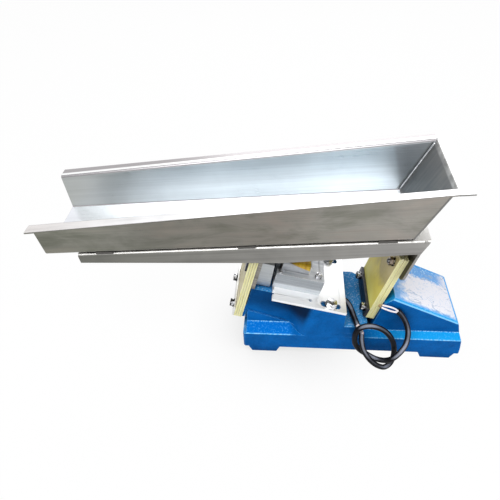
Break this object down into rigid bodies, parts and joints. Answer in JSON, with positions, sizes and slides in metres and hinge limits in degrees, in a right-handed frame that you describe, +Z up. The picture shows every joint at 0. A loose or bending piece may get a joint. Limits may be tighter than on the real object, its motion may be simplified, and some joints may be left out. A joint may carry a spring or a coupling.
{
  "type": "linear vibratory feeder",
  "caption": "Electromagnetic vibratory feeder: an open stainless trough on two inclined packs of fibreglass leaf springs over a blue cast base, with its magnet and a loose cord.",
  "frame": {"origin": "on the floor, under the middle of the whole object without its cord", "axes": "+X along the trough towards its closed end, +Z up, +Y across"},
  "size_m": [0.5516, 0.1513, 0.291],
  "materials": {
    "cast_blue": "blue paint with a hammered texture",
    "trough_steel": "brushed stainless sheet",
    "end_steel": "brushed stainless sheet",
    "frame_steel": "brushed stainless sheet",
    "spacer_steel": "plain",
    "bracket_steel": "plain",
    "bar_steel": "plain",
    "plate_metal": "milled",
    "core_iron": "laminated",
    "armature_iron": "laminated",
    "coil_tape": "amber tape",
    "former_plastic": "matte",
    "leaf": "layered fibreglass",
    "zinc": "zinc plated",
    "nut_zinc": "zinc plated",
    "screw_black": "plain",
    "cord_black": "matte",
    "wire": "gloss"
  },
  "bodies": {
    "base": {"base_casting": "cast_blue", "magnet_plate": "plate_metal", "plate_bolts": "zinc", "plate_washers": "zinc", "magnet_core": "core_iron", "coil_former": "former_plastic", "coil": "coil_tape", "core_bolts": "zinc", "core_washers": "zinc", "core_nuts": "zinc", "core_screws": "zinc", "front_springs": "leaf", "rear_springs": "leaf", "front_lower_bar": "bar_steel", "front_lower_bolts": "zinc", "front_lower_washers": "zinc", "rear_lower_bar": "bar_steel", "rear_lower_bolts": "zinc", "rear_lower_washers": "zinc", "power_cord": "cord_black", "cord_wires": "wire"},
    "tray": {"front_upper_bar": "bar_steel", "front_upper_bolts": "zinc", "front_upper_washers": "zinc", "rear_upper_bolts": "zinc", "rear_upper_washers": "zinc", "rear_upper_nuts": "nut_zinc", "armature_bracket": "bracket_steel", "armature": "armature_iron", "armature_screws": "screw_black", "trough": "trough_steel", "trough_end": "end_steel", "spacer_bars": "spacer_steel", "trough_frame": "frame_steel"}
  },
  "joints": [
    {"name": "vibration", "type": "slide", "parent": "base", "child": "tray", "axis": [0.9694, 0, -0.2453], "range_m": [-0.0006, 0.0006], "stiffness_N_per_m": 100000, "deforming": ["front_springs", "rear_springs"]}
  ]
}
